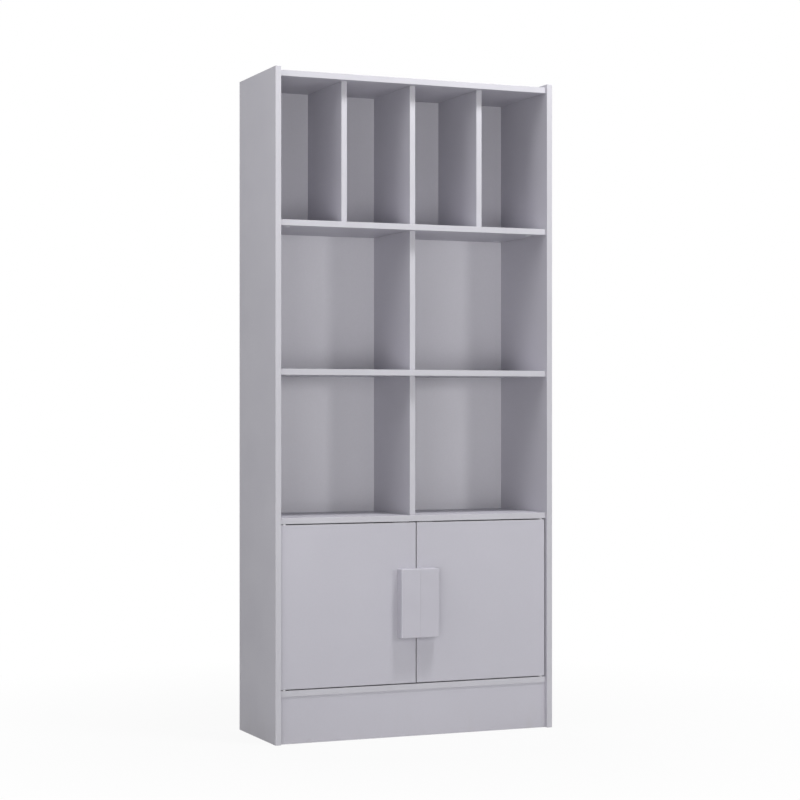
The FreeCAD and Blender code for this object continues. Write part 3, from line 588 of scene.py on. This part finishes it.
def spread_tree(name, lengths, draw):
    """A tree that stands what draw() makes on every point, turned as the point says and spun at random."""
    tree = bpy.data.node_groups.new(name, "GeometryNodeTree")
    tree.is_modifier = True
    tree.interface.new_socket("Spots", in_out="INPUT", socket_type="NodeSocketGeometry")
    for length in lengths:
        tree.interface.new_socket(length, in_out="INPUT", socket_type="NodeSocketFloat").subtype = "DISTANCE"
    tree.interface.new_socket("Most spin", in_out="INPUT", socket_type="NodeSocketFloat").subtype = "ANGLE"
    tree.interface.new_socket("Seed", in_out="INPUT", socket_type="NodeSocketInt")
    tree.interface.new_socket("Finish", in_out="INPUT", socket_type="NodeSocketMaterial")
    tree.interface.new_socket("Pieces", in_out="OUTPUT", socket_type="NodeSocketGeometry")
    add = Nodes(tree)
    given = add("NodeGroupInput").outputs
    master = draw(add, given)
    turn = add("GeometryNodeInputNamedAttribute", {"Name": "turn"},
               data_type="FLOAT_VECTOR").outputs["Attribute"]
    spin = add("FunctionNodeRandomValue", {2: 0.0, 3: given["Most spin"], "Seed": given["Seed"]},
               data_type="FLOAT").outputs[1]
    placed = add("FunctionNodeRotateRotation", {
        0: add("FunctionNodeEulerToRotation", {0: turn}).outputs[0],
        1: add("FunctionNodeEulerToRotation", {0: add.vector(0.0, 0.0, spin)}).outputs[0],
    }, rotation_space="LOCAL").outputs[0]
    copies = add("GeometryNodeInstanceOnPoints", {
        "Points": given["Spots"], "Instance": master, "Rotation": placed}).outputs[0]
    real = add("GeometryNodeRealizeInstances", {0: copies}).outputs[0]
    coated = add("GeometryNodeSetMaterial", {"Geometry": real, "Material": given["Finish"]}).outputs[0]
    add("NodeGroupOutput", {0: coated})
    return tree


def moved(add, shape, place=(0, 0, 0), scale=(1, 1, 1)):
    """A shape scaled and moved to a place."""
    return add("GeometryNodeTransform", {
        "Geometry": shape, "Translation": place, "Scale": scale}).outputs[0]


def less(add, shape, *cutters):
    """A shape with others cut out of it."""
    return add("GeometryNodeMeshBoolean", {"Mesh 1": shape, "Mesh 2": list(cutters)},
               operation="DIFFERENCE", solver="EXACT").outputs[0]


def part_of(add, whole, share):
    """A share of a length, or many times the length."""
    return add.math("MULTIPLY", whole, share)


def screw(add, given):
    """Domed head with a cross recess on a threaded shank that tapers to its tip; the head's seat is at 0."""
    arm_share, slot_share = 1.15, 0.24             # the recess's cross, of the head's radius
    core_share, ridge_share = 0.78, 0.2            # the shank's core and its thread, of the shank's radius
    tip_share, first_turn_share = 0.55, 0.6        # the core's tip and the first turn, of the core's radius
    start_share, short_share = 2.0, 3.0            # the thread's start and what it is short of, of its radius
    block = 0.1                                    # wider than any head
    radius = part_of(add, given["Head diameter"], 0.5)
    ball = add("GeometryNodeMeshUVSphere", {"Segments": 24, "Rings": 12, "Radius": 1.0}).outputs[0]
    dome = moved(add, ball, scale=add.vector(radius, radius, given["Head height"]))
    under = add("GeometryNodeMeshCube", {"Size": (block, block, block)}).outputs[0]
    top = add.vector(0.0, 0.0, given["Head height"])
    arm, slot = part_of(add, radius, arm_share), part_of(add, radius, slot_share)
    deep = part_of(add, given["Recess depth"], 2.0)
    cross = [add("GeometryNodeMeshCube", {"Size": add.vector(*size)}).outputs[0]
             for size in ((arm, slot, deep), (slot, arm, deep))]
    head = less(add, dome, moved(add, under, (0, 0, -block / 2)), *(moved(add, bar, top) for bar in cross))
    thick = part_of(add, given["Shank diameter"], 0.5)
    core, ridge = part_of(add, thick, core_share), part_of(add, thick, ridge_share)
    long = given["Shank length"]
    shank = add("GeometryNodeMeshCone", {
        "Vertices": 16, "Radius Top": core, "Radius Bottom": part_of(add, core, tip_share),
        "Depth": long}).outputs[0]
    wound = add.math("SUBTRACT", long, part_of(add, ridge, short_share))
    line = add("GeometryNodeCurveSpiral", {
        "Resolution": 14, "Rotations": add.math("DIVIDE", wound, given["Thread pitch"]),
        "Start Radius": part_of(add, core, first_turn_share),
        "End Radius": add.math("SUBTRACT", thick, ridge), "Height": wound}).outputs[0]
    profile = add("GeometryNodeCurvePrimitiveCircle", {"Resolution": 4, "Radius": ridge}).outputs[0]
    thread = add("GeometryNodeCurveToMesh", {
        "Curve": line, "Profile Curve": profile, "Fill Caps": True}).outputs[0]
    down = part_of(add, long, -1.0)
    tip = add.vector(0.0, 0.0, down)
    first_turn = add.vector(0.0, 0.0, add.math("ADD", down, part_of(add, ridge, start_share)))
    parts = [head, moved(add, shank, tip), moved(add, thread, first_turn)]
    return add("GeometryNodeJoinGeometry", {0: parts}).outputs[0]


def nail(add, given):
    """Flat head with a chamfered rim on a plain pointed shank; the head's seat is at 0."""
    rim_share, point_share = 0.8, 0.35             # of the head's radius, and of the shank's
    radius = part_of(add, given["Head diameter"], 0.5)
    head = add("GeometryNodeMeshCone", {
        "Vertices": 14, "Radius Top": part_of(add, radius, rim_share), "Radius Bottom": radius,
        "Depth": given["Head height"]}).outputs[0]
    thick = part_of(add, given["Shank diameter"], 0.5)
    shank = add("GeometryNodeMeshCone", {
        "Vertices": 8, "Radius Top": thick, "Radius Bottom": part_of(add, thick, point_share),
        "Depth": given["Shank length"]}).outputs[0]
    low = add.vector(0.0, 0.0, part_of(add, given["Shank length"], -1.0))
    return add("GeometryNodeJoinGeometry", {0: [head, moved(add, shank, low)]}).outputs[0]


def cap(add, given):
    """Disc with a sloping rim, and a small slot to lift it by; its seat is at 0."""
    rim_share, slot_wide, slot_long, slot_out = 0.9, 0.16, 0.6, 0.78    # of the disc's radius
    slot_deep = 0.6                                                     # of the disc's height
    radius = part_of(add, given["Head diameter"], 0.5)
    disc = add("GeometryNodeMeshCone", {
        "Vertices": 40, "Radius Top": part_of(add, radius, rim_share), "Radius Bottom": radius,
        "Depth": given["Head height"]}).outputs[0]
    slot = add("GeometryNodeMeshCube", {"Size": add.vector(
        part_of(add, radius, slot_wide), part_of(add, radius, slot_long),
        part_of(add, given["Head height"], slot_deep))}).outputs[0]
    at_rim = add.vector(0.0, part_of(add, radius, slot_out), given["Head height"])
    return less(add, disc, moved(add, slot, at_rim))


def dowel(add, given):
    """Fluted peg with both ends drawn in; the upper end is at 0."""
    drawn_from, drawn_by = 0.95, 0.14              # of half the peg's length, and of its radius
    radius, long = part_of(add, given["Shank diameter"], 0.5), given["Shank length"]
    peg = add("GeometryNodeMeshCylinder", {
        "Vertices": 32, "Side Segments": 15, "Radius": radius, "Depth": long}).outputs[0]
    place = add("GeometryNodeInputPosition").outputs[0]
    height = add("ShaderNodeSeparateXYZ", {0: place}).outputs["Z"]
    odd = add.math("MODULO", add("GeometryNodeInputIndex").outputs[0], 2.0)
    flute = add.math("MULTIPLY", odd, add.math("DIVIDE", given["Flute"], radius))
    from_middle = add.math("DIVIDE", add.math("ABSOLUTE", height), part_of(add, long, 0.5))
    drawn_in = part_of(add, add.math("GREATER_THAN", from_middle, drawn_from), drawn_by)
    share = add.math("SUBTRACT", add.math("SUBTRACT", 1.0, flute), drawn_in)
    pulled = add("ShaderNodeVectorMath", {0: place, 1: add.vector(share, share, 1.0)},
                 operation="MULTIPLY").outputs[0]
    shaped = add("GeometryNodeSetPosition", {"Geometry": peg, "Position": pulled}).outputs[0]
    return moved(add, shaped, add.vector(0.0, 0.0, part_of(add, long, -0.5)))


def spots_mesh(name, spots):
    """Loose points, each with the turn of the piece that stands on it."""
    mesh = bpy.data.meshes.new(name)
    mesh.from_pydata([place for place, _ in spots], [], [])
    turn = mesh.attributes.new("turn", "FLOAT_VECTOR", "POINT")
    turn.data.foreach_set("vector", [part for _, euler in spots for part in euler])
    return mesh


def spread(tree, name, spots, given, finish):
    """Run a tree over spots, and make what it gives a plain piece."""
    source = bpy.data.objects.new(name + "_spots", spots_mesh(name + "_spots", spots))
    bpy.context.collection.objects.link(source)
    maker = source.modifiers.new(tree.name, "NODES")
    maker.node_group = tree
    values = {**given, "Most spin": pi, "Seed": sizes().seed, "Finish": material(finish)}
    for item in tree.interface.items_tree:
        if item.item_type == "SOCKET" and item.in_out == "INPUT" and item.name in values:
            maker[item.identifier] = values[item.name]
    mesh = made_plain(source).data
    mesh.name = name
    bpy.data.objects.remove(source)
    mesh.materials.clear()
    mesh.materials.append(material(finish))
    mesh.polygons.foreach_set("material_index", [0] * len(mesh.polygons))
    for attribute in [a for a in mesh.attributes if a.name == "turn"]:
        mesh.attributes.remove(attribute)
    return smoothed(mesh, name)


def seat(part, side, head_height):
    """Where a part's head sits: the middle of its far side, less the head's height."""
    axis, sign = SIDES[side]
    place = (part[0] + part[1]) / 2
    place[axis] = part[sign > 0][axis] - sign * head_height
    return place


def across(part, side):
    """How wide a part is across the way it faces."""
    return max((part[1] - part[0])[axis] for axis in range(3) if axis != SIDES[side][0])


def along(part, side):
    """How long a part is the way it faces."""
    return (part[1] - part[0])[SIDES[side][0]]


def driven(node, side, head_height, shank_diameter):
    """The spots of a node's screws or nails, and their measures."""
    parts = loose_parts(node)
    given = {
        "Head diameter": across(parts[0], side), "Head height": head_height,
        "Shank diameter": shank_diameter, "Shank length": along(parts[0], side) - head_height,
    }
    return [(seat(part, side, head_height), TURNS[side]) for part in parts], given


# ---------------------------------------------------------------- operators

class Undoable:
    """What all the steps share: each can be undone and repeated."""
    bl_options = {"REGISTER", "UNDO"}


class BOOKCASE_OT_side_panels(Undoable, bpy.types.Operator):
    """Face and band the two full-height side panels"""
    bl_idname = "bookcase.side_panels"
    bl_label = "Side panels"

    def execute(self, context):
        for hand in HANDS:
            faced_board(hand + "_side_panel", banded=("front", "top"))
        return {"FINISHED"}


class BOOKCASE_OT_shelves(Undoable, bpy.types.Operator):
    """Face and band the top panel, the shelves, the cabinet top and the bottom panel"""
    bl_idname = "bookcase.shelves"
    bl_label = "Shelves"

    def execute(self, context):
        for node in SHELVES:
            faced_board(node, banded=("front",))
        return {"FINISHED"}


class BOOKCASE_OT_dividers(Undoable, bpy.types.Operator):
    """Face and band the dividers and the cabinet's partition"""
    bl_idname = "bookcase.dividers"
    bl_label = "Dividers"

    def execute(self, context):
        for node in DIVIDERS:
            faced_board(node, banded=("front",))
        return {"FINISHED"}


class BOOKCASE_OT_plinth(Undoable, bpy.types.Operator):
    """Face the plinth and the rear rail"""
    bl_idname = "bookcase.plinth"
    bl_label = "Plinth"

    def execute(self, context):
        for node in RAILS:
            faced_board(node)
        return {"FINISHED"}


class BOOKCASE_OT_back_sheets(Undoable, bpy.types.Operator):
    """Paint the front of the two back sheets and leave their rear bare"""
    bl_idname = "bookcase.back_sheets"
    bl_label = "Back sheets"

    def execute(self, context):
        for node in BACK_SHEETS:
            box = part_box(node)
            shape = merged(node)
            for face in shape.faces:
                face.material_index = int(depth_below(face.calc_center_median(), box, "front") > NEAR)
            fit(finished(shape, node + "_sheet", ["painted", "hardboard"]), node)
        return {"FINISHED"}


class BOOKCASE_OT_doors(Undoable, bpy.types.Operator):
    """Face the doors and band them all round"""
    bl_idname = "bookcase.doors"
    bl_label = "Doors"

    def execute(self, context):
        for hand in HANDS:
            faced_board(hand + "_door", banded=("left", "right", "top", "bottom"), facing="door_facing")
        return {"FINISHED"}


class BOOKCASE_OT_pulls(Undoable, bpy.types.Operator):
    """Lacquer the two halves of the block pull"""
    bl_idname = "bookcase.pulls"
    bl_label = "Pulls"

    def execute(self, context):
        for hand in HANDS:
            node = hand + "_handle"
            fit(finished(merged(node), node + "_block", ["lacquer"]), node)
        return {"FINISHED"}


class BOOKCASE_OT_pivots(Undoable, bpy.types.Operator):
    """Finish the steel pivot pins and the bushes that turn on them"""
    bl_idname = "bookcase.pivots"
    bl_label = "Pivots"

    def execute(self, context):
        for hand in HANDS:
            for end in ("lower", "upper"):
                for kind, finish, slot in (("pin", "steel", "steel"), ("bush", "plastic", "white_plastic")):
                    node = f"{hand}_{end}_pivot_{kind}"
                    fit(finished(merged(node), node + "_turned", [finish]), node)
        return {"FINISHED"}


class BOOKCASE_OT_catches(Undoable, bpy.types.Operator):
    """Build the magnetic catches and their strike plates"""
    bl_idname = "bookcase.catches"
    bl_label = "Catches"

    corner = 0.0012                           # rounding of the housing
    frame_wide = 0.002                        # round the housing's window
    window_slope, window_deep = 0.0001, 0.0025
    pole, magnet = 1, 2                       # their places among the housing's materials
    # what lies in the window: its place above the middle, its height, how far it is set back, its finish
    stack = ((-0.0032, 0.0014, 0.0, pole), (0.0, 0.0042, 0.0006, magnet), (0.0032, 0.0014, 0.0, pole))
    stack_deep, stack_clear = 0.0024, 0.0056  # from front to rear, and spare in the housing's width
    rim = 0.0003                              # rounding round the strike plate's rear face

    def execute(self, context):
        for hand in HANDS:
            self.catch(hand + "_magnetic_catch")
            self.strike(hand + "_strike_plate")
        return {"FINISHED"}

    def catch(self, node):
        """A housing with a window in its front, and in it a magnet between two steel pole plates."""
        low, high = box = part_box(node)
        shape = merged(node)
        free = [edge for edge in outline(shape, box) if "top" not in shared_sides(edge, box)]
        round_off(shape, free, self.corner)
        front = min(shape.faces, key=lambda face: (face.calc_center_median().y, -face.calc_area()))
        bmesh.ops.inset_individual(shape, faces=[front], thickness=self.frame_wide)
        bmesh.ops.inset_individual(shape, faces=[front], thickness=self.window_slope,
                                   depth=-self.window_deep)
        middle = (low + high) / 2
        for up, tall, back, finish in self.stack:
            block = bmesh.ops.create_cube(shape, size=1.0)["verts"]
            size = (high.x - low.x - self.stack_clear, self.stack_deep, tall)
            place = (middle.x, low.y + back + self.stack_deep / 2, middle.z + up)
            bmesh.ops.scale(shape, vec=size, verts=block)
            bmesh.ops.translate(shape, vec=place, verts=block)
            for face in {face for corner in block for face in corner.link_faces}:
                face.material_index = finish
        fit(finished(shape, node + "_housing", ["plastic", "steel", "magnet"]), node)

    def strike(self, node):
        """A plate with round corners and a soft rim on its rear face."""
        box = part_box(node)
        shape = merged(node)
        through = [edge for edge in outline(shape, box) if not {"front", "rear"} & shared_sides(edge, box)]
        round_off(shape, through, sizes().plate_radius, segments=6)
        around = [edge for edge in shape.edges if len(edge.link_faces) == 2
                  and "rear" in shared_sides(edge, box) and edge.calc_face_angle() > CREASE]
        round_off(shape, around, self.rim, segments=2)
        fit(finished(shape, node + "_pressing", ["steel"]), node)


class BOOKCASE_OT_screws(Undoable, bpy.types.Operator):
    """Drive the screws of the pulls, catches, strike plates and wall bracket"""
    bl_idname = "bookcase.screws"
    bl_label = "Screws"

    lengths = ("Head diameter", "Head height", "Shank diameter", "Shank length", "Recess depth",
               "Thread pitch")
    # side that a node's screws are driven from, and their shank's diameter
    rows = {
        "left_handle_screws": ("rear", 0.004), "right_handle_screws": ("rear", 0.004),
        "left_strike_screw": ("rear", 0.003), "right_strike_screw": ("rear", 0.003),
        "catch_screws": ("bottom", 0.003), "wall_bracket_screws": ("top", 0.003),
    }
    head_height = 0.002

    def execute(self, context):
        tree = spread_tree("Screws", self.lengths, screw)
        chosen = {"Recess depth": sizes().screw_recess, "Thread pitch": sizes().thread_pitch}
        for node, (side, shank) in self.rows.items():
            spots, given = driven(node, side, self.head_height, shank)
            fit(spread(tree, node + "_driven", spots, {**given, **chosen}, "steel"), node)
        return {"FINISHED"}


class BOOKCASE_OT_nails(Undoable, bpy.types.Operator):
    """Drive the nails of the back"""
    bl_idname = "bookcase.nails"
    bl_label = "Nails"

    head_height, shank = 0.0006, 0.0016

    def execute(self, context):
        node = "back_nails"
        tree = spread_tree("Nails", ("Head diameter", "Head height", "Shank diameter", "Shank length"), nail)
        spots, given = driven(node, "rear", self.head_height, self.shank)
        fit(spread(tree, node + "_driven", spots, given, "steel"), node)
        return {"FINISHED"}


class BOOKCASE_OT_covers(Undoable, bpy.types.Operator):
    """Press the covers over the cam locks"""
    bl_idname = "bookcase.covers"
    bl_label = "Cam covers"

    def execute(self, context):
        node = "cam_covers"
        tree = spread_tree("Cam covers", ("Head diameter", "Head height"), cap)
        parts = loose_parts(node)
        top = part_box(node)[1].z
        sides = ["top" if top - high.z < NEAR else "bottom" for _, high in parts]
        spots = [(seat(part, side, along(part, side)), TURNS[side]) for part, side in zip(parts, sides)]
        given = {"Head diameter": across(parts[0], "top"), "Head height": along(parts[0], "top")}
        fit(spread(tree, node + "_pressed", spots, given, "plastic"), node)
        return {"FINISHED"}


class BOOKCASE_OT_dowels(Undoable, bpy.types.Operator):
    """Set the fluted beech dowels"""
    bl_idname = "bookcase.dowels"
    bl_label = "Dowels"

    def execute(self, context):
        node = "dowels"
        tree = spread_tree("Dowels", ("Shank diameter", "Shank length", "Flute"), dowel)
        parts = loose_parts(node)
        extent = parts[0][1] - parts[0][0]
        given = {
            "Shank diameter": min(extent), "Shank length": max(extent), "Flute": sizes().dowel_flute}
        spots = []
        for low, high in parts:
            place = (low + high) / 2
            if high.x - low.x > high.z - low.z:
                place.x = high.x
                spots.append((place, (0, pi / 2, 0)))
            else:
                place.z = high.z
                spots.append((place, (0, 0, 0)))
        fit(spread(tree, node + "_set", spots, given, "beech"), node)
        return {"FINISHED"}


class BOOKCASE_OT_cam_fixings(Undoable, bpy.types.Operator):
    """Finish the cam locks and the bolts that they pull on"""
    bl_idname = "bookcase.cam_fixings"
    bl_label = "Cam fixings"

    def execute(self, context):
        for node in ("cam_locks", "cam_bolts"):
            nodes[node].data.materials[0] = material("zinc")
        return {"FINISHED"}


class BOOKCASE_OT_wall_bracket(Undoable, bpy.types.Operator):
    """Round the outer bend of the steel wall bracket"""
    bl_idname = "bookcase.wall_bracket"
    bl_label = "Wall bracket"

    bend_radius = 0.0018

    def execute(self, context):
        node = "wall_bracket"
        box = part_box(node)
        shape = merged(node)
        bend = [edge for edge in shape.edges if {"bottom", "rear"} <= shared_sides(edge, box)]
        round_off(shape, bend, self.bend_radius, segments=5)
        fit(finished(shape, node + "_bent", ["steel"]), node)
        return {"FINISHED"}


class BOOKCASE_OT_stage(Undoable, bpy.types.Operator):
    """Lay the floor and set the lamps, the room's light and the camera"""
    bl_idname = "bookcase.stage"
    bl_label = "Stage"

    sensor = 36.0                             # the camera's, in millimetres
    floor_reach, floor_squares = 14.0, 28     # half the floor's width, and the squares along it
    daylight = (0.95, 0.96, 1.0, 1)
    # name: where the lamp hangs, where it aims, its width and height, its power
    lamps = {
        "over": ((0.4, -1.0, 3.4), (0.1, -0.1, 1.2), (0.5, 0.35), 62.0),
        "side": ((1.3, -2.6, 1.15), (0.0, 0.0, 0.7), (0.3, 0.3), 13.0),
        "front": ((-0.9, -4.1, 0.9), (0.0, 0.0, 1.0), (1.6, 1.6), 39.0),
        "low_front": ((-2.7, -3.2, 0.3), (0.0, 0.0, 1.0), (1.6, 1.6), 40.0),
        "left": ((-2.6, -0.8, 2.6), (0.0, 0.0, 1.2), (1.6, 1.6), 31.0),
        "right": ((3.4, 0.9, 1.8), (0.0, 0.0, 1.0), (2.0, 2.0), 50.0),
        "rear": ((0.7, 3.8, 2.0), (0.0, 0.0, 0.9), (2.6, 2.0), 80.0),
    }

    def execute(self, context):
        self.floor()
        for name, lamp in self.lamps.items():
            self.hang(name, *lamp)
        self.room()
        self.camera()
        return {"FINISHED"}

    def floor(self):
        shape = bmesh.new()
        bmesh.ops.create_grid(shape, x_segments=self.floor_squares, y_segments=self.floor_squares,
                              size=self.floor_reach)
        mesh = bpy.data.meshes.new("studio_floor")
        shape.to_mesh(mesh)
        shape.free()
        mesh.materials.append(studio_floor("studio_floor"))
        floor = bpy.data.objects.new("studio_floor", mesh)
        bpy.context.collection.objects.link(floor)

    def hang(self, name, spot, aim, size, power):
        data = bpy.data.lights.new(name + "_lamp", "AREA")
        data.shape = "RECTANGLE"
        data.size, data.size_y = size
        data.energy = power * stage().lamp_strength
        lamp = bpy.data.objects.new(name + "_lamp", data)
        lamp.location = spot
        lamp.rotation_euler = (Vector(aim) - Vector(spot)).to_track_quat("-Z", "Y").to_euler()
        lamp.visible_camera = lamp.visible_glossy = False
        bpy.context.collection.objects.link(lamp)

    def room(self):
        world = bpy.data.worlds.new("pale_room")
        world.use_nodes = True
        add = Nodes(world.node_tree)
        add.tree.nodes.clear()
        light = add("ShaderNodeBackground", {
            "Color": self.daylight, "Strength": stage().room_light}).outputs[0]
        white = add("ShaderNodeBackground", {"Color": WHITE, "Strength": 1.0}).outputs[0]
        mixed = add("ShaderNodeMixShader", {0: seen_directly(add), 1: light, 2: white}).outputs[0]
        add("ShaderNodeOutputWorld", {"Surface": mixed})
        bpy.context.scene.world = world

    def camera(self):
        data = bpy.data.cameras.new("camera")
        data.lens, data.sensor_width, data.shift_y = stage().lens, self.sensor, stage().camera_rise
        camera = bpy.data.objects.new("camera", data)
        camera.location = stage().camera_place
        camera.rotation_euler = (pi / 2, 0, -stage().camera_turn)
        bpy.context.collection.objects.link(camera)
        bpy.context.scene.camera = camera
        bpy.context.scene.view_settings.view_transform = "Standard"


STEPS = (
    BOOKCASE_OT_side_panels, BOOKCASE_OT_shelves, BOOKCASE_OT_dividers, BOOKCASE_OT_plinth,
    BOOKCASE_OT_back_sheets, BOOKCASE_OT_doors, BOOKCASE_OT_pulls, BOOKCASE_OT_pivots, BOOKCASE_OT_catches,
    BOOKCASE_OT_screws, BOOKCASE_OT_nails, BOOKCASE_OT_covers, BOOKCASE_OT_dowels, BOOKCASE_OT_cam_fixings,
    BOOKCASE_OT_wall_bracket, BOOKCASE_OT_stage,
)
GROUPS = {
    "bookcase_sizes": BookcaseSizes, "bookcase_colours": BookcaseColours, "bookcase_stage": BookcaseStage}


class VIEW3D_PT_bookcase(bpy.types.Panel):
    """The bookcase's sizes, colours and steps"""
    bl_label = "Bookcase"
    bl_space_type = "VIEW_3D"
    bl_region_type = "UI"
    bl_category = "Bookcase"

    def draw(self, context):
        for name in GROUPS:
            group = getattr(context.scene, name)
            column = self.layout.column(align=True)
            for choice in group.__annotations__:
                column.prop(group, choice)
        for step in STEPS:
            self.layout.operator(step.bl_idname)


def register():
    for kind in (*GROUPS.values(), *STEPS, VIEW3D_PT_bookcase):
        bpy.utils.register_class(kind)
    for name, group in GROUPS.items():
        setattr(bpy.types.Scene, name, PointerProperty(type=group))


def unregister():
    for name in GROUPS:
        delattr(bpy.types.Scene, name)
    for kind in reversed((*GROUPS.values(), *STEPS, VIEW3D_PT_bookcase)):
        bpy.utils.unregister_class(kind)


def main():
    register()
    for step in STEPS:
        area, name = step.bl_idname.split(".")
        getattr(getattr(bpy.ops, area), name)()


if __name__ == "__main__":
    main()
